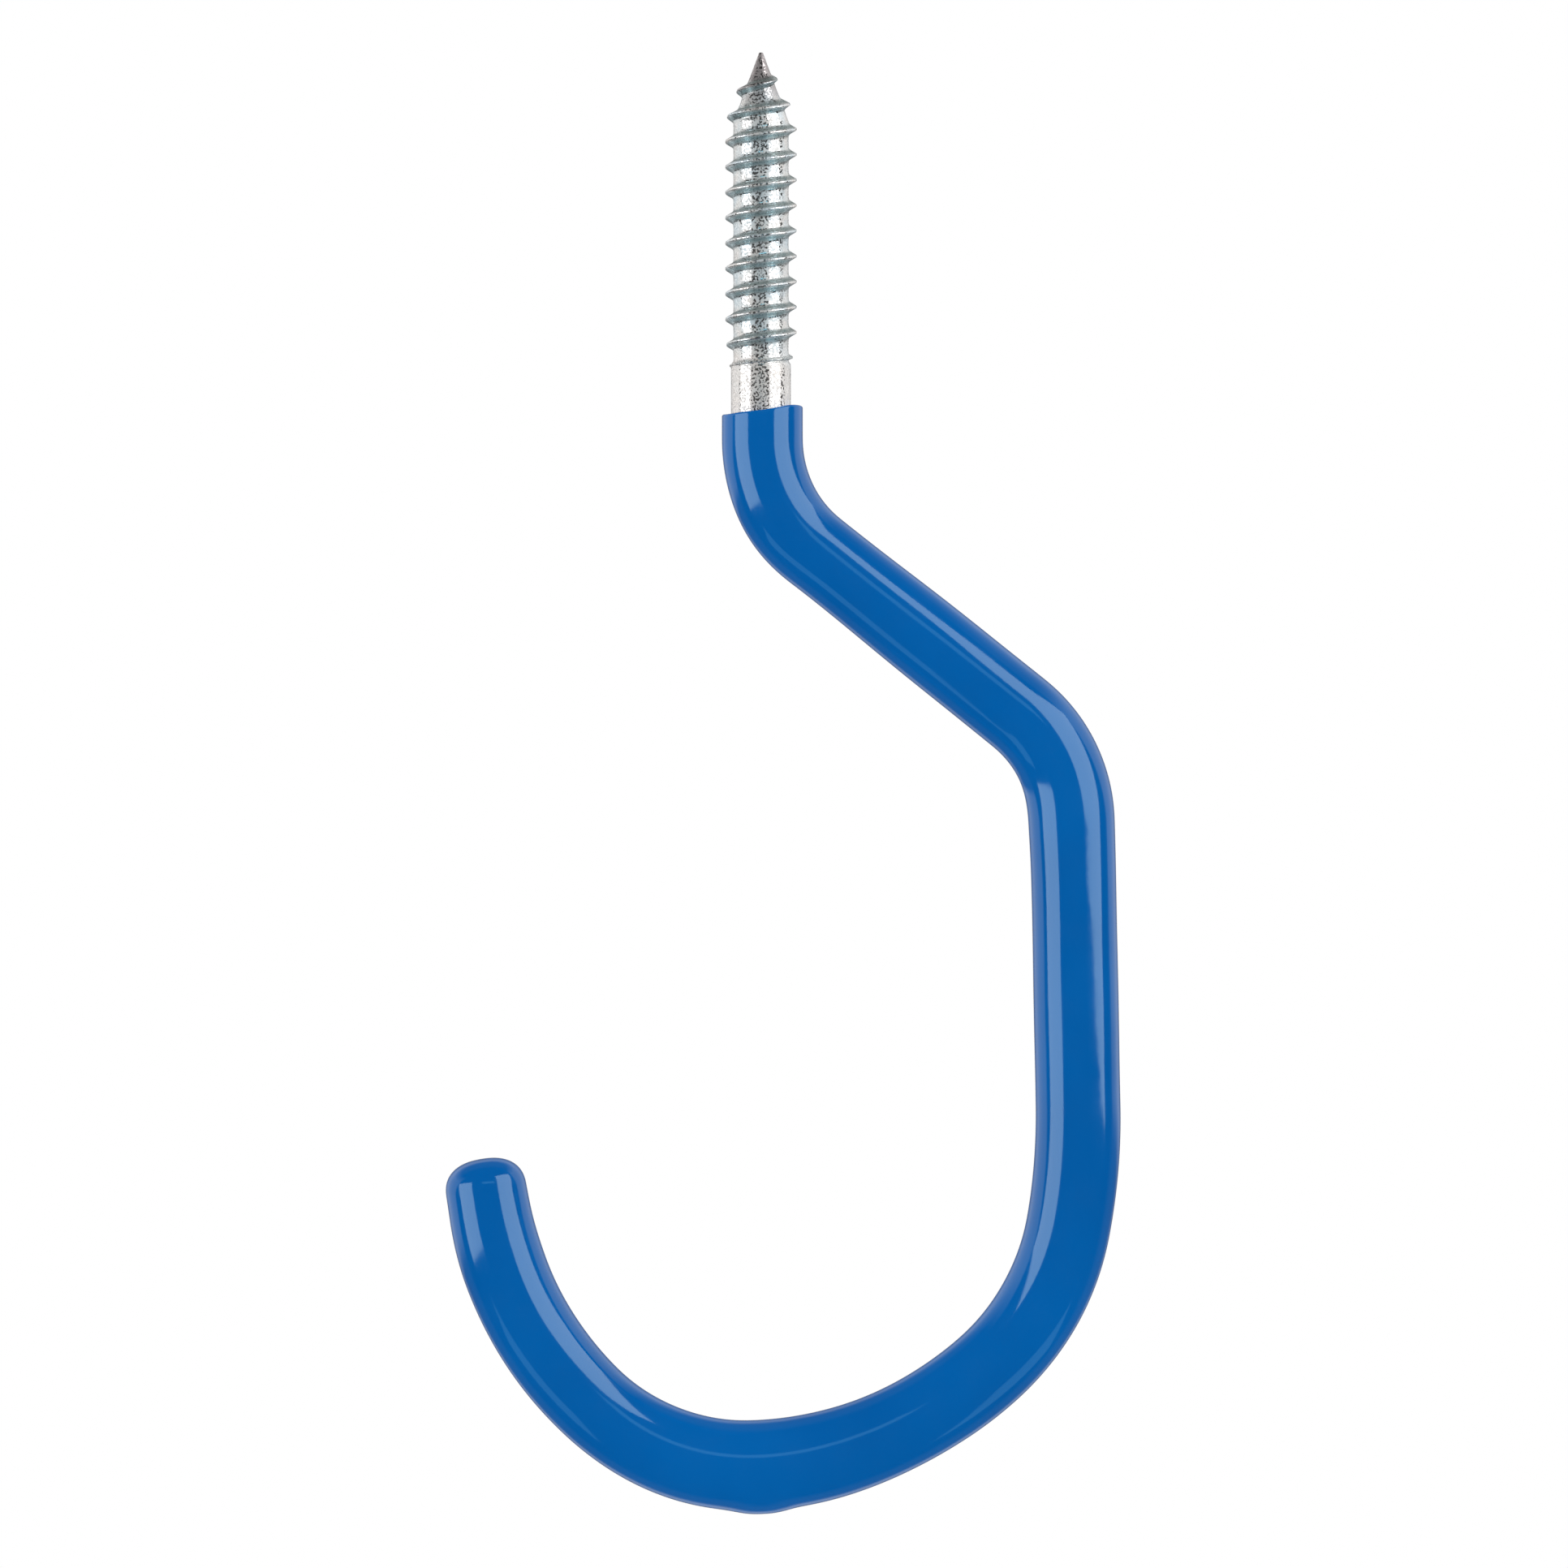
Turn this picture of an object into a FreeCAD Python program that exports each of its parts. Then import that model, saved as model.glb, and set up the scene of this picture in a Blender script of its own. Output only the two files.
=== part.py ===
"""Screw-in utility hook: a threaded steel rod bent into an offset J, with a dipped vinyl skin.

All sizes are in millimetres. The origin is on the screw's axis where the thread ends and the
plain shank begins. +Z runs up the screw to its point, and +X is the side to which the limb is
offset. The bent limb lies in the XZ plane.
"""
import FreeCAD
import Part

import math
import os

# Rod and lag thread
ROD_DIAMETER = 6.65
THREAD_DIAMETER = 7.94  # over the crests, 5/16 inch
THREAD_ROOT_DIAMETER = 6.1
THREAD_PITCH = 25.4 / 9  # nine turns to the inch
THREAD_LENGTH = 34.5  # from the shank's shoulder to the point
FLANK_ANGLE = 30.0  # each flank from square to the axis
SHOULDER_LENGTH = 0.6  # taper between the thread's root and the shank
RUN_OUT_TURNS = 1.9  # in which the ridge sinks into the shank
POINT_LENGTH = 7.7  # cone of the gimlet point
POINT_TIP_DIAMETER = 0.4
POINT_BARE_LENGTH = 1.6  # of the point with no thread
POINT_RISE_LENGTH = 2.4  # in which the ridge grows to its full height

# Bent limb, from the thread's end to the rod's cut end
NECK_LENGTH = 8.45
NECK_BEND_RADIUS = 15.7
NECK_BEND_ANGLE = 51.4
SLANT_LENGTH = 29.2
KNEE_BEND_RADIUS = 15.7
KNEE_BEND_ANGLE = 50.2
UPRIGHT_LENGTH = 31.5
HEEL_ENTRY_RADIUS = 67.0
HEEL_ENTRY_ANGLE = 11.75
HEEL_RADIUS = 28.1
HEEL_ANGLE = 37.75
SEAT_RADIUS = 41.0
SEAT_ANGLE = 41.0
TOE_RADIUS = 24.7
TOE_ANGLE = 45.0
LIP_RADIUS = 38.4
LIP_ANGLE = 36.0
LIP_LENGTH = 4.4

# Vinyl skin
COAT_EDGE_DROP = 5.3  # from the thread's end to the skin's edge, on the axis
COAT_EDGE_TILT = 7.0
COAT_NECK_THICKNESS = 1.17
COAT_THICKNESS = 1.42  # from the knee down
COAT_TIP_THICKNESS = 0.95  # beside the rod's cut end
COAT_END_THICKNESS = 1.4  # over the rod's cut end
COAT_END_ROUND = 3.0
SAG_DEPTH = 0.65  # extra skin below the seat
SAG_HALF_LENGTH = 22.0
SAG_LEAD = 1.8  # of its middle before the hook's lowest point
DRIP_DEPTH = 0.45
DRIP_RADIUS = 3.5

ROD_RADIUS = ROD_DIAMETER / 2
ROOT_RADIUS = THREAD_ROOT_DIAMETER / 2
TIP_RADIUS = POINT_TIP_DIAMETER / 2
THREAD_DEPTH = THREAD_DIAMETER / 2 - ROOT_RADIUS
RIDGE_SEAT = 0.12 * ROOT_RADIUS  # depth of the ridge's foot inside the core
FIRST_TURN = -0.9  # turns are counted from the +X side
FIRST_CREST_RISE = 0.2 * THREAD_PITCH  # of the crest on that side above the thread's end
RIDGE_STEPS = 12  # in each length of the ridge
SAG_SECTIONS = 16


def straight(length):
    """A straight span of the limb, as its length and curvature."""
    return length, 0.0


def bend(radius, degrees):
    """A bent span of the limb, as its length and curvature; it turns to +X if degrees > 0."""
    return radius * math.radians(abs(degrees)), math.copysign(1 / radius, degrees)


OFFSET_SPANS = [
    straight(NECK_LENGTH),
    bend(NECK_BEND_RADIUS, NECK_BEND_ANGLE),
    straight(SLANT_LENGTH),
    bend(KNEE_BEND_RADIUS, -KNEE_BEND_ANGLE),
    straight(UPRIGHT_LENGTH),
]
HOOK_SPANS = [
    bend(HEEL_ENTRY_RADIUS, -HEEL_ENTRY_ANGLE),
    bend(HEEL_RADIUS, -HEEL_ANGLE),
    bend(SEAT_RADIUS, -SEAT_ANGLE),
    bend(TOE_RADIUS, -TOE_ANGLE),
    bend(LIP_RADIUS, -LIP_ANGLE),
]
LIMB_SPANS = OFFSET_SPANS + HOOK_SPANS + [straight(LIP_LENGTH + COAT_END_THICKNESS)]
SLANT_START = sum(length for length, _ in OFFSET_SPANS[:2])
LIP_START = sum(length for length, _ in OFFSET_SPANS + HOOK_SPANS)
ROD_END = LIP_START + LIP_LENGTH
LIMB_END = ROD_END + COAT_END_THICKNESS


def ramp(value, start, end):
    """0 before start, 1 after end, and in proportion between them."""
    return min(1.0, max(0.0, (value - start) / (end - start)))


def forward(heading):
    """Direction along the limb; the heading is turned from straight down toward +X."""
    return FreeCAD.Vector(math.sin(heading), 0, -math.cos(heading))


def side(heading):
    """Direction square to the limb, on the +X side where the limb runs down."""
    return FreeCAD.Vector(math.cos(heading), 0, math.sin(heading))


def spans_between(first, last):
    """The start, length and curvature of each span that lies between two distances."""
    parts = []
    distance = 0.0
    for length, curvature in LIMB_SPANS:
        start = max(distance, first)
        end = min(distance + length, last)
        if end - start > 1e-6:
            parts.append((start, end - start, curvature))
        distance += length
    return parts


def station(distance):
    """Place and heading at a distance along the limb."""
    point = FreeCAD.Vector(0, 0, 0)
    heading = 0.0
    for _, length, curvature in spans_between(0.0, distance):
        if curvature:
            pivot = point + side(heading) / curvature
            heading += length * curvature
            point = pivot - side(heading) / curvature
        else:
            point = point + forward(heading) * length
    return point, heading


def round_bar(first, last, radius_at):
    """Round bar between two distances: cylinders, cones and parts of tori, end to end."""
    pieces = []
    for start, length, curvature in spans_between(first, last):
        point, heading = station(start)
        near = radius_at(start)
        far = radius_at(start + length)
        if curvature:
            disc = Part.Face(Part.Wire(Part.makeCircle(near, point, forward(heading))))
            pivot = point + side(heading) / curvature
            axis = FreeCAD.Vector(0, -math.copysign(1, curvature), 0)
            pieces.append(disc.revolve(pivot, axis, math.degrees(length * abs(curvature))))
        elif abs(near - far) < 1e-6:
            pieces.append(Part.makeCylinder(near, length, point, forward(heading)))
        else:
            pieces.append(Part.makeCone(near, far, length, point, forward(heading)))
    return pieces


def fused(pieces):
    """One solid from pieces that meet or overlap, with no seams left between like faces."""
    return pieces[0].multiFuse(pieces[1:]).removeSplitter().Solids[0]


def end_edge(solid, distance):
    """The round edge of a solid where the limb's axis passes square through its end."""
    point, _ = station(distance)
    rings = [edge for edge in solid.Edges if isinstance(edge.Curve, Part.Circle)]
    return min(rings, key=lambda edge: edge.Curve.Center.distanceToPoint(point))


def core_radius(height):
    """Radius of the screw below its ridge: the root, then the cone of the point."""
    share = ramp(height, THREAD_LENGTH - POINT_LENGTH, THREAD_LENGTH)
    return ROOT_RADIUS + (TIP_RADIUS - ROOT_RADIUS) * share


def screw_core():
    """Neck, shank, shoulder, thread root and gimlet point, turned about the axis."""
    outline = [
        FreeCAD.Vector(0, 0, -NECK_LENGTH),
        FreeCAD.Vector(ROD_RADIUS, 0, -NECK_LENGTH),
        FreeCAD.Vector(ROD_RADIUS, 0, -SHOULDER_LENGTH / 2),
        FreeCAD.Vector(ROOT_RADIUS, 0, SHOULDER_LENGTH / 2),
        FreeCAD.Vector(ROOT_RADIUS, 0, THREAD_LENGTH - POINT_LENGTH),
        FreeCAD.Vector(TIP_RADIUS, 0, THREAD_LENGTH),
        FreeCAD.Vector(0, 0, THREAD_LENGTH),
    ]
    profile = Part.Face(Part.makePolygon(outline + outline[:1]))
    return profile.revolve(FreeCAD.Vector(0, 0, 0), FreeCAD.Vector(0, 0, 1), 360)


def ridge_section(turn):
    """The ridge's three corners at a turn: its lower foot, its crest and its upper foot."""
    height = FIRST_CREST_RISE + THREAD_PITCH * turn
    from_tip = THREAD_LENGTH - height
    growth = ramp(from_tip, POINT_BARE_LENGTH, POINT_BARE_LENGTH + POINT_RISE_LENGTH)
    grown = core_radius(height) + THREAD_DEPTH * growth
    sunk = ROD_RADIUS - 0.1 * THREAD_DEPTH
    crest = sunk + (grown - sunk) * ramp(turn, FIRST_TURN, FIRST_TURN + RUN_OUT_TURNS)
    foot = core_radius(height) - RIDGE_SEAT
    half_foot = (crest - foot) * math.tan(math.radians(FLANK_ANGLE))
    angle = 2 * math.pi * turn

    def corner(radius, rise):
        return FreeCAD.Vector(radius * math.cos(angle), radius * math.sin(angle), height + rise)

    return [corner(foot, -half_foot), corner(crest, 0), corner(foot, half_foot)]


def ridge_length(start, end):
    """Three ruled faces between the ridge's corners, carried round the screw between two turns."""
    sections = []
    for step in range(RIDGE_STEPS + 1):
        sections.append(ridge_section(start + (end - start) * step / RIDGE_STEPS))
    rails = []
    for row in zip(*sections):
        curve = Part.BSplineCurve()
        curve.interpolate(list(row))
        rails.append(curve.toShape())
    return [Part.makeRuledSurface(rails[index - 1], rails[index]) for index in range(3)]


def thread_ridge():
    """The right-hand helical ridge, closed at both ends, in lengths of about half a turn."""
    last_turn = (THREAD_LENGTH - POINT_BARE_LENGTH - FIRST_CREST_RISE) / THREAD_PITCH
    count = math.ceil(2 * (last_turn - FIRST_TURN))
    turns = [FIRST_TURN + (last_turn - FIRST_TURN) * index / count for index in range(count + 1)]
    faces = []
    for start, end in zip(turns, turns[1:]):
        faces += ridge_length(start, end)
    for turn in (FIRST_TURN, last_turn):
        corners = ridge_section(turn)
        faces.append(Part.Face(Part.makePolygon(corners + corners[:1])))
    shell = Part.makeShell(faces)
    shell.sewShape()
    ridge = Part.makeSolid(shell)
    if ridge.Volume < 0:
        ridge.reverse()
    return ridge


def steel_rod():
    """The whole rod: screw, bent limb and plain cut end."""
    limb = round_bar(NECK_LENGTH, ROD_END, lambda distance: ROD_RADIUS)
    return fused([screw_core(), thread_ridge()] + limb)


def coat_radius(distance):
    """Outer radius of the skin before any sag: it thickens down the slant and thins at the lip."""
    thicker = ramp(distance, SLANT_START, SLANT_START + SLANT_LENGTH)
    thinner = ramp(distance, LIP_START, LIMB_END)
    thickness = COAT_NECK_THICKNESS + (COAT_THICKNESS - COAT_NECK_THICKNESS) * thicker
    return ROD_RADIUS + thickness - (COAT_THICKNESS - COAT_TIP_THICKNESS) * thinner


def sag_middle():
    """Distance to the sag's middle, just before the place at which the hook runs level."""
    level = -math.pi / 2
    for start, length, curvature in spans_between(0.0, LIMB_END):
        _, heading = station(start)
        if curvature < 0 and heading >= level >= heading + length * curvature:
            return start + (level - heading) / curvature - SAG_LEAD
    raise ValueError("the hook never runs level")


def sagging_skin():
    """Skin round the seat, swollen on its outer side by a bell that is deepest at the middle."""
    middle = sag_middle()
    sections = []
    for index in range(SAG_SECTIONS + 1):
        share = 2 * index / SAG_SECTIONS - 1
        distance = middle + share * SAG_HALF_LENGTH
        swell = SAG_DEPTH * math.cos(share * math.pi / 2) ** 2
        point, heading = station(distance)
        centre = point + side(heading) * (swell / 2)
        radius = coat_radius(distance) + swell / 2
        sections.append(Part.Wire(Part.makeCircle(radius, centre, forward(heading))))
    return Part.makeLoft(sections, True)


def drip():
    """The set drop below the sag's middle."""
    middle = sag_middle()
    point, heading = station(middle)
    reach = coat_radius(middle) + SAG_DEPTH + DRIP_DEPTH - DRIP_RADIUS
    return Part.makeSphere(DRIP_RADIUS, point + side(heading) * reach)


def above_edge():
    """The space above the skin's slanting edge."""
    reach = 4 * ROD_DIAMETER
    block = Part.makeBox(reach, reach, reach, FreeCAD.Vector(-reach / 2, -reach / 2, 0))
    block.rotate(FreeCAD.Vector(0, 0, 0), FreeCAD.Vector(0, -1, 0), COAT_EDGE_TILT)
    block.translate(FreeCAD.Vector(0, 0, -COAT_EDGE_DROP))
    return block


def vinyl_coat(rod):
    """The dipped skin: swept over the limb, rounded past the cut end, hollowed by the rod."""
    middle = sag_middle()
    slope = math.tan(math.radians(COAT_EDGE_TILT))
    top = COAT_EDGE_DROP - 1.5 * slope * coat_radius(COAT_EDGE_DROP)
    pieces = round_bar(top, middle - SAG_HALF_LENGTH, coat_radius)
    pieces.append(sagging_skin())
    pieces += round_bar(middle + SAG_HALF_LENGTH, LIMB_END, coat_radius)
    pieces[-1] = pieces[-1].makeFillet(COAT_END_ROUND, [end_edge(pieces[-1], LIMB_END)])
    outer = fused(pieces + [drip()])
    return outer.cut(above_edge()).cut(rod).Solids[0]


os.makedirs("parts", exist_ok=True)
STEEL_ROD = steel_rod()
STEEL_ROD.exportStep("parts/steel_rod.step")
vinyl_coat(STEEL_ROD).exportStep("parts/vinyl_coat.step")
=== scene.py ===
"""Looks of a screw-in utility hook: a zinc-plated lag screw rod with a dipped blue vinyl skin.

Sizes of the limb, the rod and the skin are in millimetres, as the part was drawn. Meshes, finishes,
lights, floor and camera are in metres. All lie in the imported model's frame: the origin is on the
screw's axis where the thread ends, +Z runs up the screw to its point, and the bent limb lies in
the XZ plane with its offset toward +X.
"""
import logging
import math
from dataclasses import dataclass, field
from enum import Enum

import bpy
import numpy as np
from mathutils import Matrix, Vector


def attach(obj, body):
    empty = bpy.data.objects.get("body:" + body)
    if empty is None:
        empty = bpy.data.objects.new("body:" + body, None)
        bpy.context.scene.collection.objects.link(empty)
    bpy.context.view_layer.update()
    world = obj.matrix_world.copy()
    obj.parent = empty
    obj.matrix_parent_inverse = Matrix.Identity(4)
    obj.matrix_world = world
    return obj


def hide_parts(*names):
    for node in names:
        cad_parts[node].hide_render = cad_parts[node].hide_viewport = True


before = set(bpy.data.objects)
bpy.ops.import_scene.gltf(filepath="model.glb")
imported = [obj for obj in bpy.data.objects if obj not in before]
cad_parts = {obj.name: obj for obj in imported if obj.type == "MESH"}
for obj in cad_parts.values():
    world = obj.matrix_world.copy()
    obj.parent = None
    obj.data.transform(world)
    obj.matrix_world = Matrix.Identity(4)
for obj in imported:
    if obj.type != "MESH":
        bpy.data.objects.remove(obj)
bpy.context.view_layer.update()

BODY = "root"
MM = 0.001
ROD_RADIUS = 3.325
END_WALL = 1.4  # of the skin over the rod's cut end
CARD_TINT = (0.40, 0.84, 1.0)
LOG = logging.getLogger("utility_hook")


class Slot(Enum):
    """Material slots of the part's record."""

    ZINC = "zinc_plate"
    VINYL = "blue_vinyl"


class Ray(Enum):
    """Kinds of ray that the white surroundings answer in different ways."""

    CAMERA = "Is Camera Ray"
    GLOSSY = "Is Glossy Ray"
    THROUGH = "Is Transmission Ray"


def ramp(values: np.ndarray, start: float, end: float) -> np.ndarray:
    """Eases from 0 at start to 1 at end along the cubic 3t^2 - 2t^3.

    Args:
        values: Places at which the ramp is read.
        start: Place at which the ramp leaves 0.
        end: Place at which the ramp reaches 1.

    Returns:
        The ramp's height at each place.
    """
    share = np.clip((values - start) / (end - start), 0.0, 1.0)
    return share * share * (3.0 - 2.0 * share)


def steps(start: float, end: float, count: int) -> np.ndarray:
    """Returns a column of even steps from start to end that leaves out the start."""
    return np.linspace(start, end, count + 1)[1:, None]


def ring_angles(columns: int) -> np.ndarray:
    """Returns a row of even angles round a ring, from 0."""
    return np.linspace(0.0, 2 * math.pi, columns, endpoint=False)[None, :]


def ring_mesh(
    name: str, rings: np.ndarray, first_pole: np.ndarray, last_pole: np.ndarray
) -> bpy.types.Object:
    """Makes a closed skin over rings of points.

    Neighbouring rings are joined by four-sided faces, which close round each ring, and each end
    is a fan of triangles round its pole. Faces point outwards where the rings run
    anticlockwise, as seen by someone who looks back along the rows.

    Args:
        name: The piece's name.
        rings: Points in metres, as rows x columns x 3.
        first_pole: The point that closes the first ring.
        last_pole: The point that closes the last ring.

    Returns:
        The piece, linked to the scene at the origin and shaded smooth.
    """
    rows, columns, _ = rings.shape
    index = np.arange(rows * columns).reshape(rows, columns)
    beside = np.roll(index, -1, axis=1)
    quads = np.stack((index[:-1], beside[:-1], beside[1:], index[1:]), axis=-1).reshape(-1, 4)
    first = np.full(columns, rows * columns)
    first_fan = np.stack((beside[0], index[0], first), axis=-1)
    last_fan = np.stack((index[-1], beside[-1], first + 1), axis=-1)
    points = np.vstack((rings.reshape(-1, 3), first_pole, last_pole))
    mesh = bpy.data.meshes.new(name)
    mesh.from_pydata(points.tolist(), [], quads.tolist() + first_fan.tolist() + last_fan.tolist())
    mesh.polygons.foreach_set("use_smooth", np.ones(len(mesh.polygons), dtype=bool))
    piece = bpy.data.objects.new(name, mesh)
    bpy.context.scene.collection.objects.link(piece)
    return piece


class NodeBoard:
    """A node tree with short calls that add nodes and join them."""

    def __init__(self, tree: bpy.types.NodeTree) -> None:
        """Takes over a tree."""
        self.tree = tree

    def add(self, kind: str, inputs: dict | None = None, **settings: object) -> bpy.types.Node:
        """Adds a node.

        Args:
            kind: Blender's name of the node's type.
            inputs: A value, or a socket to join, for each named or numbered input.
            settings: Values of the node's own properties.

        Returns:
            The new node.
        """
        node = self.tree.nodes.new(kind)
        for key, value in settings.items():
            setattr(node, key, value)
        for key, value in (inputs or {}).items():
            self.feed(node.inputs[key], value)
        return node

    def feed(self, socket: bpy.types.NodeSocket, value: object) -> None:
        """Joins a socket to another node's output, or sets its value.

        Args:
            socket: The input to feed.
            value: The output to join it to, or its plain value.
        """
        if isinstance(value, bpy.types.NodeSocket):
            self.tree.links.new(value, socket)
        else:
            socket.default_value = value

    def noise(self, place: bpy.types.NodeSocket, scale: float, detail: float = 2.0) -> bpy.types.NodeSocket:
        """Adds a noise of so many cells to the metre, and returns its height."""
        node = self.add("ShaderNodeTexNoise", {"Vector": place, "Scale": scale, "Detail": detail})
        return node.outputs["Fac"]

    def place(self) -> bpy.types.NodeSocket:
        """Adds the Object coordinates, and returns them."""
        return self.add("ShaderNodeTexCoord").outputs["Object"]

    def bump(
        self,
        height: bpy.types.NodeSocket,
        strength: float,
        distance: float,
        under: bpy.types.NodeSocket | None = None,
    ) -> bpy.types.NodeSocket:
        """Adds a bump.

        Args:
            height: The bump's height.
            strength: Share of the bump that shows.
            distance: Depth of the bump in metres.
            under: The normal of a bump that lies under this one.

        Returns:
            The bumped normal.
        """
        inputs = {"Strength": strength, "Distance": distance, "Height": height}
        if under is not None:
            inputs["Normal"] = under
        return self.add("ShaderNodeBump", inputs).outputs["Normal"]

    def span(
        self, value: bpy.types.NodeSocket, source: tuple, target: tuple = (0.0, 1.0)
    ) -> bpy.types.NodeSocket:
        """Maps one range of a value onto another, held at both ends, and returns the result."""
        inputs = {"Value": value, 1: source[0], 2: source[1], 3: target[0], 4: target[1]}
        return self.add("ShaderNodeMapRange", inputs).outputs["Result"]

    def dot(self, vector: bpy.types.NodeSocket, along: tuple) -> bpy.types.NodeSocket:
        """Measures a vector along a direction, and returns the length."""
        node = self.add("ShaderNodeVectorMath", {0: vector, 1: along}, operation="DOT_PRODUCT")
        return node.outputs["Value"]

    def product(self, one: bpy.types.NodeSocket, other: bpy.types.NodeSocket) -> bpy.types.NodeSocket:
        """Multiplies two values, and returns the result."""
        return self.add("ShaderNodeMath", {0: one, 1: other}, operation="MULTIPLY").outputs["Value"]

    def larger(self, one: bpy.types.NodeSocket, other: bpy.types.NodeSocket) -> bpy.types.NodeSocket:
        """Returns the larger of two values."""
        return self.add("ShaderNodeMath", {0: one, 1: other}, operation="MAXIMUM").outputs["Value"]

    def blend(self, share: bpy.types.NodeSocket, low: object, high: object) -> bpy.types.NodeSocket:
        """Mixes two colours by a share, and returns the mixed colour."""
        node = self.add("ShaderNodeMix", {0: share, 6: low, 7: high}, data_type="RGBA")
        return node.outputs[2]


def fresh_material(name: str) -> tuple[bpy.types.Material, NodeBoard, bpy.types.Node]:
    """Makes a material with Blender's principled shader.

    Args:
        name: The material's name.

    Returns:
        The material, its node board and its shader node.
    """
    material = bpy.data.materials.new(name)
    material.use_nodes = True
    shader = material.node_tree.nodes["Principled BSDF"]
    return material, NodeBoard(material.node_tree), shader


@dataclass(frozen=True)
class VinylFinish:
    """Glossy dipped vinyl: one deep blue with slow changes of tone, and a faint dimpled skin."""

    thick_colour: tuple = (0.0, 0.113, 0.410, 1.0)
    thin_colour: tuple = (0.0, 0.127, 0.450, 1.0)
    sheen_tint: tuple = (0.70, 0.976, 1.0, 1.0)
    sheen_level: float = 0.475
    refraction: float = 1.6
    roughness: tuple = (0.07, 0.11)
    noise_range: tuple = (0.3, 0.7)
    cloud_scale: float = 70.0
    cloud_detail: float = 3.0
    smear_scale: float = 260.0
    smear_detail: float = 4.0
    dimple_scale: float = 240.0
    dimple_strength: float = 0.06
    dimple_depth: float = 0.0002
    grain_scale: float = 3600.0
    grain_strength: float = 0.008
    grain_depth: float = 0.00005

    def material(self) -> bpy.types.Material:
        """Makes the vinyl's material.

        Returns:
            A material on Object coordinates.
        """
        material, board, shader = fresh_material("blue dipped vinyl")
        place = board.place()
        clouds = board.span(board.noise(place, self.cloud_scale, self.cloud_detail), self.noise_range)
        smear = board.noise(place, self.smear_scale, self.smear_detail)
        dimples = board.noise(place, self.dimple_scale)
        grain = board.noise(place, self.grain_scale)
        skin = board.bump(dimples, self.dimple_strength, self.dimple_depth)
        fine_skin = board.bump(grain, self.grain_strength, self.grain_depth, skin)
        board.feed(shader.inputs["Base Color"], board.blend(clouds, self.thick_colour, self.thin_colour))
        board.feed(shader.inputs["Roughness"], board.span(smear, self.noise_range, self.roughness))
        board.feed(shader.inputs["Normal"], fine_skin)
        shader.inputs["IOR"].default_value = self.refraction
        shader.inputs["Specular IOR Level"].default_value = self.sheen_level
        shader.inputs["Specular Tint"].default_value = self.sheen_tint
        return material


@dataclass(frozen=True)
class ZincFinish:
    """Bright zinc plate: crystalline speckle, cool passivation in the thread, warmer grey elsewhere, and
    painted shade on the thread's flanks.
    """

    warm_colour: tuple = (0.94, 0.90, 0.87, 1.0)
    plain_colour: tuple = (0.80, 0.89, 0.94, 1.0)
    # painted shade: darker flank colours, one for flanks that face down and one for flanks that face up;
    # the cool tint is partly passivation
    shaded_lower_flank: tuple = (0.43, 0.56, 0.60, 1.0)
    shaded_upper_flank: tuple = (0.42, 0.48, 0.47, 1.0)
    point_colour: tuple = (0.50, 0.46, 0.46, 1.0)
    metal: float = 0.94
    roughness: tuple = (0.10, 0.68)
    smooth_flank: float = 0.45
    cloud_scale: float = 420.0
    cloud_detail: float = 3.0
    cloud_range: tuple = (0.35, 0.65)
    crystal_scale: float = 4200.0
    crystal_detail: float = 3.0
    facet_range: tuple = (0.52, 0.68)
    facet_strength: float = 0.08
    facet_depth: float = 0.0001
    haze_range: tuple = (0.44, 0.52)
    pit_scale: float = 1500.0
    pit_strength: float = 0.2
    pit_depth: float = 0.00005
    thread_start: tuple = (-0.001, 0.003)
    patch_share: tuple = (0.15, 0.85)
    point_start: tuple = (0.0285, 0.031)
    flank_map: str = "flank"

    def colour(
        self, board: NodeBoard, place: bpy.types.NodeSocket, flank: bpy.types.NodeSocket
    ) -> bpy.types.NodeSocket:
        """Colours the plate.

        Args:
            board: The material's node board.
            place: Object coordinates.
            flank: The map of the thread's flanks.

        Returns:
            The colour's socket: warm on the shank, in warm and plain patches up the thread, darker
            at the point, and darker on both kinds of flank as painted shade: one painted shade for flanks
            that face down and another for flanks that face up, their cool tint partly the passivation.
        """
        height = board.dot(place, (0.0, 0.0, 1.0))
        clouds = board.span(board.noise(place, self.cloud_scale, self.cloud_detail), self.cloud_range)
        patches = board.blend(clouds, self.warm_colour, self.plain_colour)
        up_thread = board.span(height, self.thread_start, self.patch_share)
        plate = board.blend(up_thread, self.warm_colour, patches)
        with_point = board.blend(board.span(height, self.point_start), plate, self.point_colour)
        # painted shade on the thread's flanks, darker on flanks that face down and on flanks that face up
        below = board.blend(board.span(flank, (0.0, 1.0)), with_point, self.shaded_lower_flank)
        return board.blend(board.span(flank, (0.0, -1.0)), below, self.shaded_upper_flank)

    def material(self) -> bpy.types.Material:
        """Makes the zinc's material.

        Returns:
            A material on Object coordinates and on the piece's own map of the thread's flanks, which
            is 1 on a flank that faces down and -1 on one that faces up.
        """
        material, board, shader = fresh_material("bright zinc plate")
        place = board.place()
        flank = board.add("ShaderNodeAttribute", attribute_name=self.flank_map).outputs["Fac"]
        crystals = board.noise(place, self.crystal_scale, self.crystal_detail)
        facets = board.span(crystals, self.facet_range)
        speckle = board.bump(facets, self.facet_strength, self.facet_depth)
        pits = board.noise(place, self.pit_scale)
        haze = board.span(crystals, self.haze_range, self.roughness)
        smoother = board.span(flank, (0.0, 1.0), (1.0, self.smooth_flank))
        board.feed(shader.inputs["Base Color"], self.colour(board, place, flank))
        board.feed(shader.inputs["Roughness"], board.product(haze, smoother))
        board.feed(shader.inputs["Normal"], board.bump(pits, self.pit_strength, self.pit_depth, speckle))
        shader.inputs["Metallic"].default_value = self.metal
        return material


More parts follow.
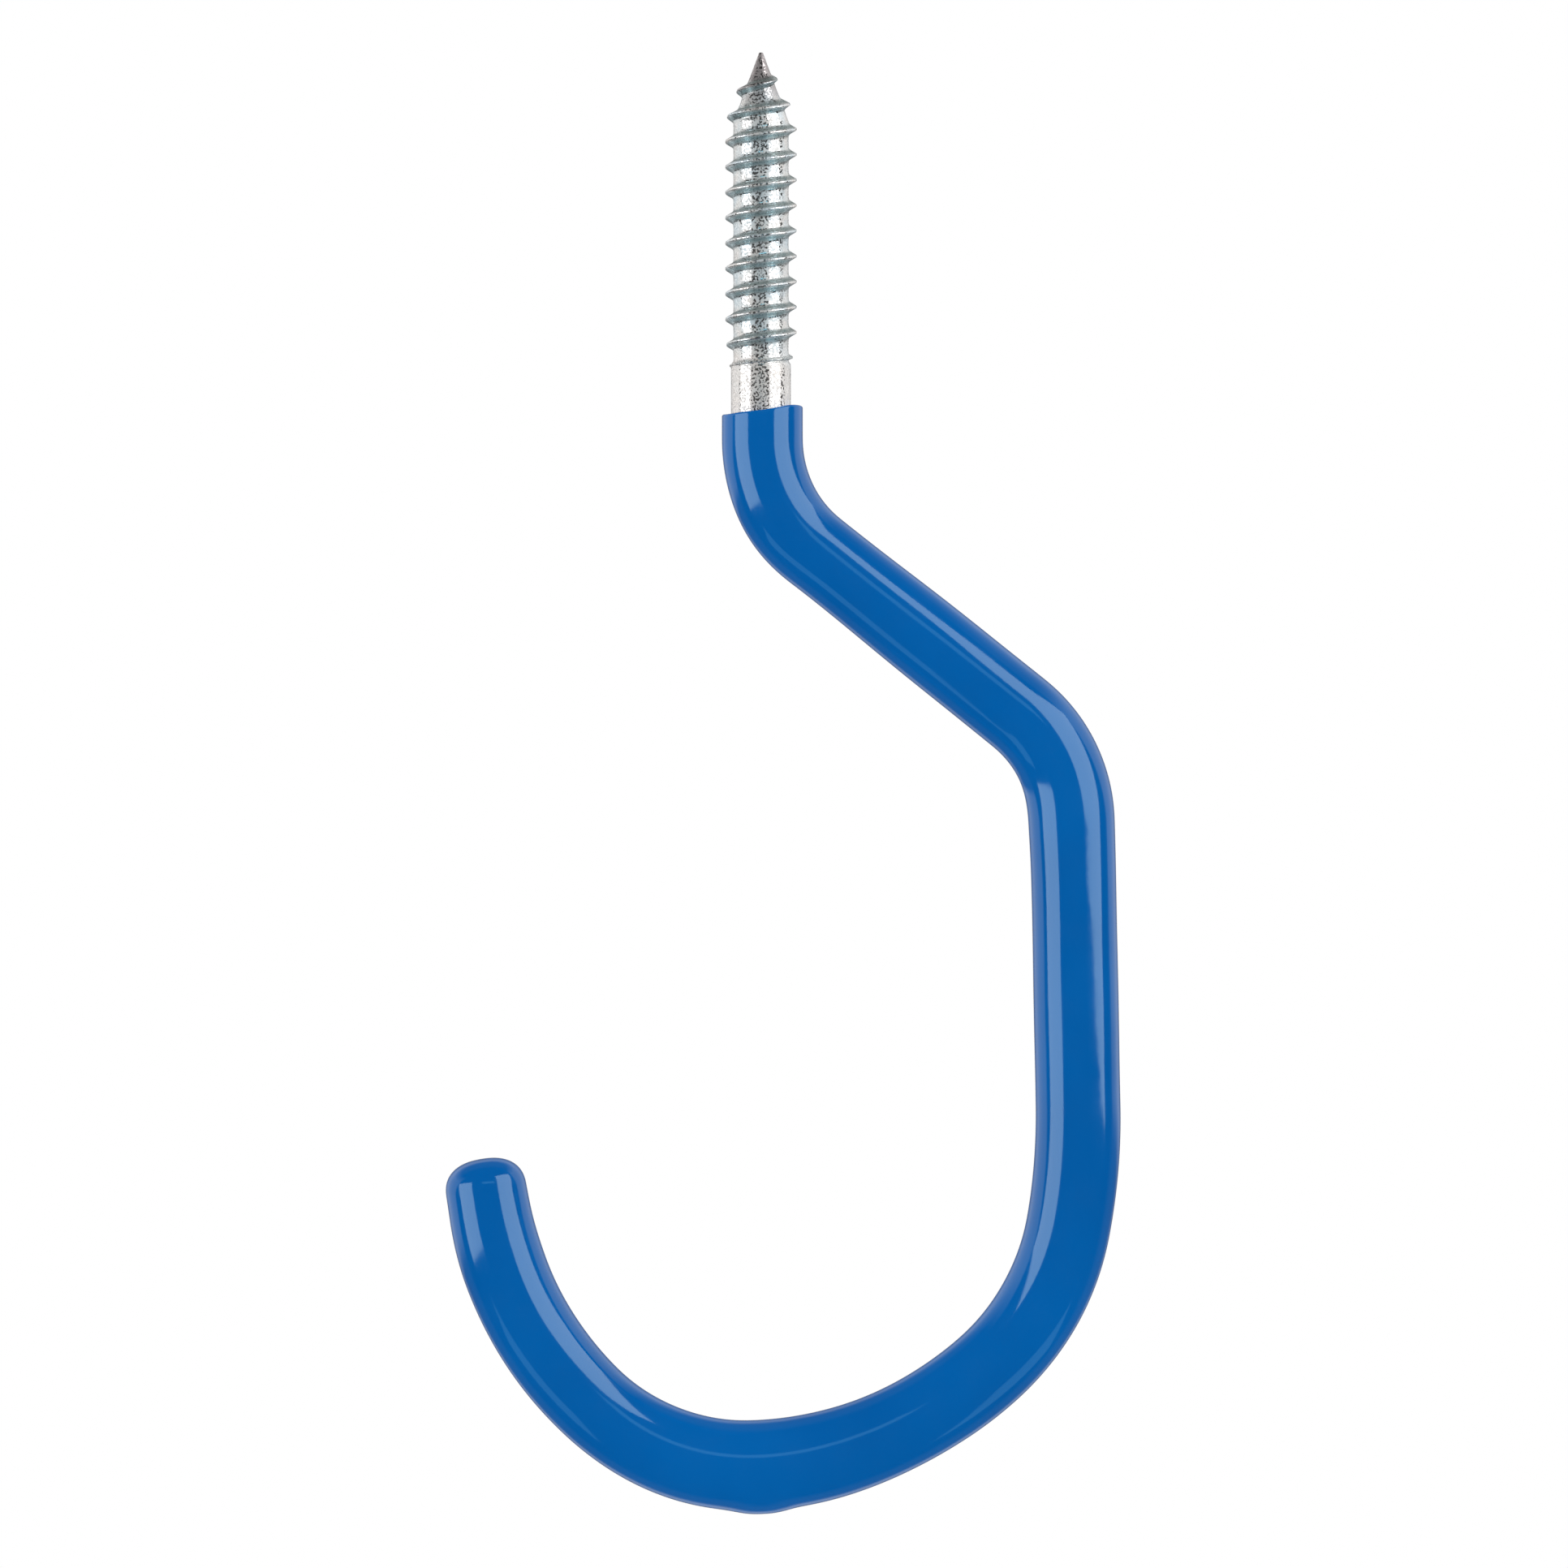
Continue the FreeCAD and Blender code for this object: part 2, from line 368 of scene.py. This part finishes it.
@dataclass(frozen=True)
class FloorFinish:
    """Plain pale studio paper with a faint fibre."""

    light: tuple = (0.90, 0.90, 0.90, 1.0)
    dark: tuple = (0.87, 0.87, 0.87, 1.0)
    fibre_scale: float = 300.0
    roughness: float = 0.8

    def material(self) -> bpy.types.Material:
        """Makes the floor's material.

        Returns:
            A material on Object coordinates.
        """
        material, board, shader = fresh_material("pale studio paper")
        fibre = board.noise(board.place(), self.fibre_scale)
        board.feed(shader.inputs["Base Color"], board.blend(fibre, self.dark, self.light))
        shader.inputs["Roughness"].default_value = self.roughness
        return material


@dataclass(frozen=True)
class Span:
    """A length of the limb with one bend radius; it turns toward +X where degrees > 0."""

    length: float
    degrees: float = 0.0

    @classmethod
    def bend(cls, radius: float, degrees: float) -> "Span":
        """Makes a bent span from its radius and angle."""
        return cls(radius * math.radians(abs(degrees)), degrees)

    @property
    def curvature(self) -> float:
        """Turn in radians to the millimetre."""
        return math.radians(self.degrees) / self.length


@dataclass
class Limb:
    """The rod's centreline from the thread's end to the skin's rounded end."""

    spans: tuple[Span, ...] = (
        Span(8.45),  # neck
        Span.bend(15.7, 51.4),  # out to the side
        Span(29.2),  # slant
        Span.bend(15.7, -50.2),  # knee
        Span(31.5),  # upright
        Span.bend(67.0, -11.75),  # into the heel
        Span.bend(28.1, -37.75),  # heel
        Span.bend(41.0, -41.0),  # seat
        Span.bend(24.7, -45.0),  # toe
        Span.bend(38.4, -36.0),  # lip
        Span(4.4 + END_WALL),  # lip's straight end
    )
    easing: float = 1.4  # half the length over which a bend is averaged
    step: float = 0.01  # between the line's points
    distances: np.ndarray = field(init=False)
    headings: np.ndarray = field(init=False)
    points: np.ndarray = field(init=False)

    def __post_init__(self) -> None:
        """Works the line out once: the bend is eased into and out of, and summed twice.

        The curvature of the spans is averaged over the easing length, because a bent rod has no
        sudden change of bend. Its running sum is the heading from straight down, and the running
        sum of (sin heading, -cos heading) is the place.
        """
        ends = np.cumsum([span.length for span in self.spans])
        curvatures = np.array([span.curvature for span in self.spans])
        self.distances = np.arange(0.0, ends[-1] + self.step, self.step)
        owner = np.minimum(np.searchsorted(ends, self.distances), len(ends) - 1)
        kernel = np.hanning(int(2 * self.easing / self.step) + 2)
        margin = len(kernel)
        padded = np.pad(curvatures[owner], margin)
        eased = np.convolve(padded, kernel / kernel.sum(), mode="same")[margin:-margin]
        self.headings = self.running_sum(eased)
        self.points = np.stack(
            (self.running_sum(np.sin(self.headings)), -self.running_sum(np.cos(self.headings))), axis=-1
        )

    def running_sum(self, slope: np.ndarray) -> np.ndarray:
        """Sums a slope along the line by the trapezium rule, from 0."""
        inner = np.cumsum((slope[1:] + slope[:-1]) / 2) * self.step
        return np.concatenate(([0.0], inner))

    @property
    def length(self) -> float:
        """Length of the whole line."""
        return sum(span.length for span in self.spans)

    def sections(self, distance: np.ndarray, radius: np.ndarray, angle: np.ndarray) -> np.ndarray:
        """Places points round the line.

        A point is the line's place plus radius x (cos angle x side + sin angle x Y), where side
        is square to the line and is +X where the line runs straight down.

        Args:
            distance: Distance along the line of each point, in millimetres.
            radius: Distance from the line of each point, in millimetres.
            angle: Angle of each point round the line.

        Returns:
            The points in metres, with x, y and z along a new last axis.
        """
        heading = np.interp(distance, self.distances, self.headings)
        along_x = np.interp(distance, self.distances, self.points[:, 0])
        along_z = np.interp(distance, self.distances, self.points[:, 1])
        reach = radius * np.cos(angle)
        x = along_x + reach * np.cos(heading)
        y = radius * np.sin(angle)
        z = along_z + reach * np.sin(heading)
        return np.stack(np.broadcast_arrays(x, y, z), axis=-1) * MM


@dataclass
class ThreadedRod:
    """The steel rod: gimlet point, right-hand lag thread, shank, and the bent limb inside the skin."""

    limb: Limb
    finish: ZincFinish = ZincFinish()
    radius: float = ROD_RADIUS
    root_radius: float = 3.05
    crest_radius: float = 3.95
    pitch: float = 25.4 / 9
    thread_length: float = 34.5
    shoulder: float = 0.6
    point_length: float = 7.7
    tip_radius: float = 0.2
    bare_point: float = 1.6
    point_rise: float = 2.4
    first_turn: float = -1.1
    run_out_turns: float = 2.1
    run_out_pitch: float = 0.64  # share of the pitch below the first crest
    first_crest: float = 0.2 * pitch  # its height at angle 0
    flank_angle: float = 28.0
    crest_land: float = 0.16
    crest_round: float = 0.08
    foot_round: float = 0.26
    screw_foot: float = 1.2  # of the screw's first ring below the thread's end
    foot_gap: float = 0.3  # from that ring to the limb's last
    columns: int = 72
    limb_rows: int = 150

    def core(self, height: np.ndarray) -> np.ndarray:
        """Radius below the ridge: shank, eased shoulder, root, and the cone of the point.

        Args:
            height: Height of each point up the screw, in millimetres.

        Returns:
            The radius in millimetres.
        """
        shoulder = ramp(height, -self.shoulder / 2, self.shoulder / 2)
        straight = self.radius + (self.root_radius - self.radius) * shoulder
        share = np.clip((self.thread_length - height) / self.point_length, 0.0, 1.0)
        return self.tip_radius + (straight - self.tip_radius) * share

    def ridge(self, height: np.ndarray, angle: np.ndarray) -> tuple[np.ndarray, np.ndarray]:
        """Height of the thread above the core.

        The distance along the axis to the nearest crest gives a V of the flank angle, with a narrow
        land on top. The land's edges are rounded as a hyperbola, and so is the foot where the ridge
        runs out into the core. The crest rises along the helix from the shank and sinks again on the
        point. Below the first crest, heights are stretched by 1 / run_out_pitch, so the turns there
        lie closer together.

        Args:
            height: Height of each point up the screw, in millimetres.
            angle: Angle of each point round the screw.

        Returns:
            The ridge's height in millimetres, and how much each point belongs to a flank that faces
            down (above 0) or up (below 0): 4 s (1 - s), where s is the share of the full depth, faded
            where the ridge runs out.
        """
        above = height - self.first_crest
        unrolled = np.where(above < 0, above / self.run_out_pitch, above)
        turns = unrolled / self.pitch - angle / (2 * math.pi)
        nearest = np.round(turns)
        offset = (turns - nearest) * self.pitch
        turn = nearest + angle / (2 * math.pi)
        crest_height = self.first_crest + turn * self.pitch
        depth = self.crest_radius - self.root_radius
        from_tip = self.thread_length - crest_height
        growth = ramp(from_tip, self.bare_point, self.bare_point + self.point_rise)
        run_out = ramp(turn, self.first_turn, self.first_turn + self.run_out_turns)
        crest = depth * growth * run_out
        slope = 1 / math.tan(math.radians(self.flank_angle))
        beyond = np.maximum(np.abs(offset) - self.crest_land / 2, 0.0)
        fall = np.hypot(slope * beyond, self.crest_round) - self.crest_round
        rise = crest - fall
        rounded = (rise + np.hypot(rise, self.foot_round * crest / depth)) / 2
        share = np.clip(rounded / depth, 0.0, 1.0)
        flank = -np.sign(offset) * 4 * share * (1 - share) * run_out
        return rounded, flank

    def screw_rings(self) -> tuple[np.ndarray, np.ndarray]:
        """Rings of the screw from the shank to its point.

        There are as many rings to a turn as points round a ring, and one ring holds the crest at
        angle 0, so the crest runs through points along the grid's diagonal where the pitch is full.

        Returns:
            The rings' points in metres, and the flank map of the same points.
        """
        step = self.pitch / self.columns
        lowest = round((-self.first_crest - self.screw_foot) / step)
        highest = int((self.thread_length - self.first_crest) / step)
        height = (self.first_crest + step * np.arange(lowest, highest + 1))[:, None]
        angle = ring_angles(self.columns)
        rise, flank = self.ridge(height, angle)
        radius = self.core(height) + rise
        x = radius * np.cos(angle)
        y = radius * np.sin(angle)
        return np.stack(np.broadcast_arrays(x, y, height), axis=-1) * MM, flank

    def limb_rings(self, top: float) -> np.ndarray:
        """Rings of the plain rod from its cut end back to a distance below the thread."""
        distance = np.linspace(self.limb.length - END_WALL, top, self.limb_rows)[:, None]
        return self.limb.sections(distance, np.full_like(distance, self.radius), ring_angles(self.columns))

    def build(self) -> bpy.types.Object:
        """Makes the rod's mesh, with the flank map on its points.

        Returns:
            The rod's piece.
        """
        screw, flank = self.screw_rings()
        limb = self.limb_rings(-screw[0, 0, 2] / MM + self.foot_gap)
        tip = np.array([0.0, 0.0, self.thread_length * MM])
        piece = ring_mesh("zinc_rod", np.concatenate((limb, screw)), limb[0].mean(axis=0), tip)
        poles = np.zeros(2)
        values = np.concatenate((np.zeros(limb.shape[0] * self.columns), flank.ravel(), poles))
        layer = piece.data.attributes.new(self.finish.flank_map, "FLOAT", "POINT")
        layer.data.foreach_set("value", values.astype(np.float32))
        return piece

    def dress(self, piece: bpy.types.Object) -> None:
        """Gives the rod its finish and its place in the frame.

        Args:
            piece: The rod's piece.
        """
        piece.data.materials.append(self.finish.material())
        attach(piece, BODY)
        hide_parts("steel_rod")


@dataclass
class DippedSkin:
    """The vinyl skin: slanting edge on the shank, even wall, sag and drip below, rounded end."""

    limb: Limb
    finish: VinylFinish = VinylFinish()
    rod_radius: float = ROD_RADIUS
    edge_drop: float = 5.3
    edge_tilt: float = 7.0
    edge_round: float = 0.22
    edge_waves: tuple = ((3, 0.6, 0.07), (5, 2.0, 0.042))
    edge_step_drop: float = 0.03
    neck_wall: float = 1.17
    neck_shift: float = 0.15
    shift_fades: tuple = (9.0, 24.0)
    wall: float = 1.42
    thickens: tuple = (20.0, 44.0)
    thins: tuple = (195.0, 205.0)
    tip_wall: float = 1.20
    end_depth: float = 3.6
    end_square: float = 2.4
    sag_middle: float = 157.1
    sag_half: float = 22.0
    sag_depth: float = 0.63
    drip_depth: float = 0.40
    drip_half: float = 2.7
    drip_flatness: float = 1.5
    bend_puddles: tuple = ((17.8, 0.2, 5.0), (64.0, 0.2, 4.5))
    wave_height: float = 0.014
    waves_begin: tuple = (12.0, 30.0)
    long_wave: float = 6.1
    long_twist: float = 1.3
    short_wave: float = 2.6
    short_share: float = 0.8
    settled: float = 8.0  # distance below which the rings lie square to the limb
    cavity_overlap: float = 0.004  # of the skin into the rod, so that no gap shows
    columns: int = 96
    dome_rows: int = 25
    side_rows: int = 445
    rise_rows: int = 8
    round_rows: int = 6
    step_rows: int = 3
    cavity_rows: int = 150

    def outer_radius(self, distance: np.ndarray, angle: np.ndarray) -> np.ndarray:
        """Outer radius of the skin round the limb.

        The wall eases from its neck thickness to its full thickness and thins at the lip. The sag
        adds sag_depth x cos^2 along the seat, shared round the ring as (1 + cos angle) / 2. The
        drip adds a flat-topped bell below the sag. Two sets of slow waves, which never add to the
        wall, stand for uneven setting, and at the neck the skin is shifted toward +X.

        Args:
            distance: Distance along the limb of each point, in millimetres.
            angle: Angle of each point round the limb, from its outer side.

        Returns:
            The radius in millimetres.
        """
        wall = self.neck_wall + (self.wall - self.neck_wall) * ramp(distance, *self.thickens)
        wall = wall - (self.wall - self.tip_wall) * ramp(distance, *self.thins)
        from_sag = distance - self.sag_middle
        bell = np.cos(np.clip(from_sag / self.sag_half, -1.0, 1.0) * math.pi / 2) ** 2
        sag = self.sag_depth * bell * (1 + np.cos(angle)) / 2
        around = np.angle(np.exp(1j * angle)) * (self.rod_radius + self.wall)
        spread = (from_sag / self.drip_half) ** 2 + (around / self.drip_half) ** 2
        drip = self.drip_depth * np.exp(-(spread ** self.drip_flatness))
        shift = self.neck_shift * np.cos(angle) * (1 - ramp(distance, *self.shift_fades))
        long_waves = np.sin(distance / self.long_wave + self.long_twist * np.cos(angle))
        short_waves = self.short_share * np.sin(distance / self.short_wave + 2 * angle)
        both = long_waves + short_waves - (1 + self.short_share)
        waves = self.wave_height * both * ramp(distance, *self.waves_begin)
        return self.rod_radius + wall + sag + drip + shift + waves + self.puddles(distance, angle)

    def puddles(self, distance: np.ndarray, angle: np.ndarray) -> np.ndarray:
        """Extra vinyl that ran to the left side of both bends of the offset.

        Each of bend_puddles is its place along the limb, its depth and its half length.

        Args:
            distance: Distance along the limb of each point, in millimetres.
            angle: Angle of each point round the limb, from its outer side.

        Returns:
            The extra wall in millimetres: bells along the limb, cos^2 round its left side.
        """
        left = np.clip(-np.cos(angle), 0.0, 1.0) ** 2
        bells = 0.0
        for place, depth, half in self.bend_puddles:
            bells = bells + depth * np.exp(-(((distance - place) / half) ** 2))
        return left * bells

    def edge_distance(self, angle: np.ndarray) -> np.ndarray:
        """Distance along the limb of the skin's slanting edge: a tilted plane with slow waves.

        Each of edge_waves is its number round the edge, its phase and its height.

        Args:
            angle: Angle of each point round the limb.

        Returns:
            The distance in millimetres.
        """
        slope = math.tan(math.radians(self.edge_tilt))
        distance = self.edge_drop - slope * (self.rod_radius + self.neck_wall) * np.cos(angle)
        for number, phase, height in self.edge_waves:
            distance = distance + height * np.sin(number * angle + phase)
        return distance

    def profile(self) -> tuple[np.ndarray, np.ndarray, np.ndarray]:
        """Rings of the skin from its rounded end, up outside, over the edge and down inside.

        The end is a superellipse: end_depth x cos^(2/n) along the limb, and radius x sin^(2/n)
        across it, where n is end_square. Above the settled distance the rings tilt step by step into
        the slanting edge, which is a quarter round and a flat step in to the shank.

        Returns:
            Distance along the limb, radius and angle of every point, as rows x columns.
        """
        angle = ring_angles(self.columns)
        edge = self.edge_distance(angle)
        power = 2 / self.end_square
        shoulder = self.limb.length - self.end_depth
        quarter = steps(0.0, math.pi / 2, self.dome_rows)
        dome = shoulder + self.end_depth * np.cos(quarter) ** power
        side = steps(shoulder, self.settled, self.side_rows)
        start = edge + self.edge_round
        rise = self.settled + (start - self.settled) * steps(0.0, 1.0, self.rise_rows)
        turn = steps(0.0, math.pi / 2, self.round_rows)
        rolled = start - self.edge_round * np.sin(turn)
        inward = steps(0.0, 1.0, self.step_rows)
        step_outer = self.outer_radius(start, angle) - self.edge_round
        cavity = self.rod_radius - self.cavity_overlap
        down = np.linspace(self.settled, self.limb.length - END_WALL, self.cavity_rows)[:, None]
        bands = (
            (dome, self.outer_radius(dome, angle) * np.sin(quarter) ** power),
            (side, self.outer_radius(side, angle)),
            (rise, self.outer_radius(rise, angle)),
            (rolled, self.outer_radius(rolled, angle) - self.edge_round * (1 - np.cos(turn))),
            (edge + self.edge_step_drop * inward, step_outer + (cavity - step_outer) * inward),
            (down, cavity),
        )
        grids = [np.broadcast_arrays(distance, radius, angle) for distance, radius in bands]
        distances, radii, angles = (np.concatenate(rows) for rows in zip(*grids))
        return distances, radii, angles

    def build(self) -> bpy.types.Object:
        """Makes the skin's mesh.

        Returns:
            The skin's piece.
        """
        rings = self.limb.sections(*self.profile())
        ends = np.array([self.limb.length, self.limb.length - END_WALL])
        outside, inside = self.limb.sections(ends, np.zeros(2), np.zeros(2))
        return ring_mesh("vinyl_skin", rings, outside, inside)

    def dress(self, piece: bpy.types.Object) -> None:
        """Gives the skin its finish and its place in the frame.

        Args:
            piece: The skin's piece.
        """
        piece.data.materials.append(self.finish.material())
        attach(piece, BODY)
        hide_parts("vinyl_coat")


@dataclass(frozen=True)
class Softbox:
    """A rectangular studio light that faces the hook and shows in its gloss only.

    The world gives the plain light that falls on everything. A light's bearing is turned from the
    camera's side toward +X, and its roll lifts its right side as the hook sees it.
    """

    name: str
    bearing: float
    elevation: float
    width: float
    height: float
    radiance: float
    roll: float = 0.0
    tint: tuple = (1.0, 1.0, 1.0)
    distance: float = 0.75
    aim: tuple = (0.0, 0.0, -0.05)

    def build(self) -> bpy.types.Object:
        """Makes the light, with the power that gives its face the radiance: 4 x radiance x area.

        Returns:
            The light's object, which neither the camera nor a matt surface sees.
        """
        light = bpy.data.lights.new(self.name, "AREA")
        light.shape = "RECTANGLE"
        light.size = self.width
        light.size_y = self.height
        light.energy = 4 * self.radiance * self.width * self.height
        light.color = self.tint
        lamp = bpy.data.objects.new(self.name, light)
        turn = math.radians(self.bearing)
        lift = math.radians(self.elevation)
        facing = Matrix.Rotation(turn, 4, "Z") @ Matrix.Rotation(math.pi / 2 - lift, 4, "X")
        rolled = facing @ Matrix.Rotation(math.radians(self.roll), 4, "Z")
        back = facing @ Vector((0.0, 0.0, self.distance))
        lamp.matrix_world = Matrix.Translation(Vector(self.aim) + back) @ rolled
        lamp.visible_camera = False
        lamp.visible_diffuse = False
        bpy.context.scene.collection.objects.link(lamp)
        return lamp


@dataclass(frozen=True)
class Surroundings:
    """The world: white to the camera, plain light on matt surfaces, and a pale backdrop in gloss.

    A direction's parts along the axes say what gloss sees there. The backdrop's wall begins where the
    part along wall_axis passes wall_start, and it is seen between foot and top of the part along
    rise_axis, so it stands higher on the right. Behind the hook, past sweep_start along sweep_axis,
    it sweeps on down, and right behind it, past shade_start, it lies in the hook's own shade. Above
    and below it the room is dim, and on the camera's side it is dark.
    """

    dark: float = 0.015
    dim: float = 0.12
    pale: float = 0.86
    plain: float = 1.0
    white: float = 1.0
    back_axis: tuple = (0.0, 1.0, 0.0)
    back_start: tuple = (0.1, 0.3)
    shade_start: tuple = (0.78, 0.94)
    shade_level: float = 0.15
    sweep_axis: tuple = (0.0, 1.0, -0.3)
    sweep_start: tuple = (0.84, 0.96)
    wall_axis: tuple = (-0.1, 1.0, 0.42)
    wall_start: tuple = (0.14, 0.22)
    rise_axis: tuple = (-0.12, 0.0, 1.0)
    foot: tuple = (-0.17, -0.10)
    top: tuple = (0.50, 0.74)

    @staticmethod
    def grey(level: float) -> tuple[float, float, float, float]:
        """Makes a neutral colour of a level."""
        return level, level, level, 1.0

    def mirrored(self, board: NodeBoard) -> bpy.types.NodeSocket:
        """Makes what gloss sees.

        Args:
            board: The world's node board.

        Returns:
            The colour in each direction.
        """
        way = board.add("ShaderNodeTexCoord").outputs["Generated"]
        depth = board.dot(way, self.back_axis)
        rise = board.dot(way, self.rise_axis)
        band = board.product(board.span(rise, self.foot), board.span(rise, self.top, (1.0, 0.0)))
        wall = board.product(board.span(board.dot(way, self.wall_axis), self.wall_start), band)
        sweep = board.span(board.dot(way, self.sweep_axis), self.sweep_start)
        shaded = board.span(depth, self.shade_start, (1.0, self.shade_level))
        backdrop = board.product(shaded, board.larger(sweep, wall))
        room = board.blend(board.span(depth, self.back_start), self.grey(self.dark), self.grey(self.dim))
        return board.blend(backdrop, room, self.grey(self.pale))

    def build(self) -> None:
        """Makes the world and gives it to the scene."""
        world = bpy.data.worlds.new("white_surroundings")
        bpy.context.scene.world = world
        world.use_nodes = True
        board = NodeBoard(world.node_tree)
        rays = board.add("ShaderNodeLightPath").outputs
        white = self.grey(self.white)
        unseen = board.blend(rays[Ray.GLOSSY.value], self.grey(self.plain), self.mirrored(board))
        through = board.blend(rays[Ray.THROUGH.value], unseen, white)
        background = world.node_tree.nodes["Background"]
        board.feed(background.inputs["Color"], board.blend(rays[Ray.CAMERA.value], through, white))
        background.inputs["Strength"].default_value = 1.0


@dataclass
class Studio:
    """Plain floor, two softboxes with faint cards, white surroundings and a level camera."""

    softboxes: tuple[Softbox, ...] = (
        Softbox(
            "left_softbox", bearing=-62.0, elevation=1.0, roll=12.0,
            width=0.575, height=0.475, radiance=2.3,
        ),
        Softbox(
            "right_softbox", bearing=59.0, elevation=22.2, roll=-8.5,
            width=0.66, height=0.68, radiance=2.3,
        ),
        Softbox(
            "front_card", bearing=5.5, elevation=22.0, tint=CARD_TINT,
            width=0.47, height=0.10, radiance=0.88,
        ),
        Softbox(
            "low_left_card", bearing=-62.0, elevation=-38.5, roll=42.0, tint=CARD_TINT,
            width=0.20, height=0.28, radiance=0.7,
        ),
        Softbox(
            "low_right_card", bearing=70.0, elevation=-44.0, roll=-45.0, tint=CARD_TINT,
            width=0.26, height=0.34, radiance=0.7,
        ),
    )
    surroundings: Surroundings = Surroundings()
    floor_finish: FloorFinish = FloorFinish()
    floor_height: float = -0.75
    floor_half: float = 5.0
    floor_points: int = 9
    lens: float = 250.0
    sensor: float = 36.0
    view_width: float = 0.17432
    view_x: float = 0.00256
    view_z: float = -0.04683

    def floor(self) -> bpy.types.Object:
        """Makes the floor as an even grid that gloss doesn't see.

        Returns:
            The floor's object.
        """
        lines = np.linspace(-self.floor_half, self.floor_half, self.floor_points)
        x, y = np.meshgrid(lines, lines)
        points = np.stack((x, y, np.full_like(x, self.floor_height)), axis=-1)
        index = np.arange(x.size).reshape(x.shape)
        quads = np.stack((index[:-1, :-1], index[:-1, 1:], index[1:, 1:], index[1:, :-1]), axis=-1)
        mesh = bpy.data.meshes.new("floor")
        mesh.from_pydata(points.reshape(-1, 3).tolist(), [], quads.reshape(-1, 4).tolist())
        mesh.materials.append(self.floor_finish.material())
        floor = bpy.data.objects.new("floor", mesh)
        bpy.context.scene.collection.objects.link(floor)
        floor.visible_glossy = False
        return floor

    def camera(self) -> bpy.types.Object:
        """Makes the level camera, far enough back for the frame to hold the view's width.

        Returns:
            The camera's object.
        """
        data = bpy.data.cameras.new("camera")
        data.sensor_width = self.sensor
        data.lens = self.lens
        camera = bpy.data.objects.new("camera", data)
        camera.location = (self.view_x, -self.view_width * self.lens / self.sensor, self.view_z)
        camera.rotation_euler = (math.pi / 2, 0.0, 0.0)
        bpy.context.scene.collection.objects.link(camera)
        bpy.context.scene.camera = camera
        return camera

    def build(self) -> None:
        """Makes everything round the hook."""
        self.camera()
        self.floor()
        self.surroundings.build()
        for softbox in self.softboxes:
            softbox.build()
        bpy.context.scene.view_settings.view_transform = "Standard"


def main() -> None:
    """Builds the studio, the rod and its skin, and reports each piece."""
    logging.basicConfig(level=logging.INFO, format="%(name)s: %(message)s")
    Studio().build()
    limb = Limb()
    for part in (ThreadedRod(limb), DippedSkin(limb)):
        piece = part.build()
        part.dress(piece)
        LOG.info("%s has %d faces", piece.name, len(piece.data.polygons))


if __name__ == "__main__":
    main()
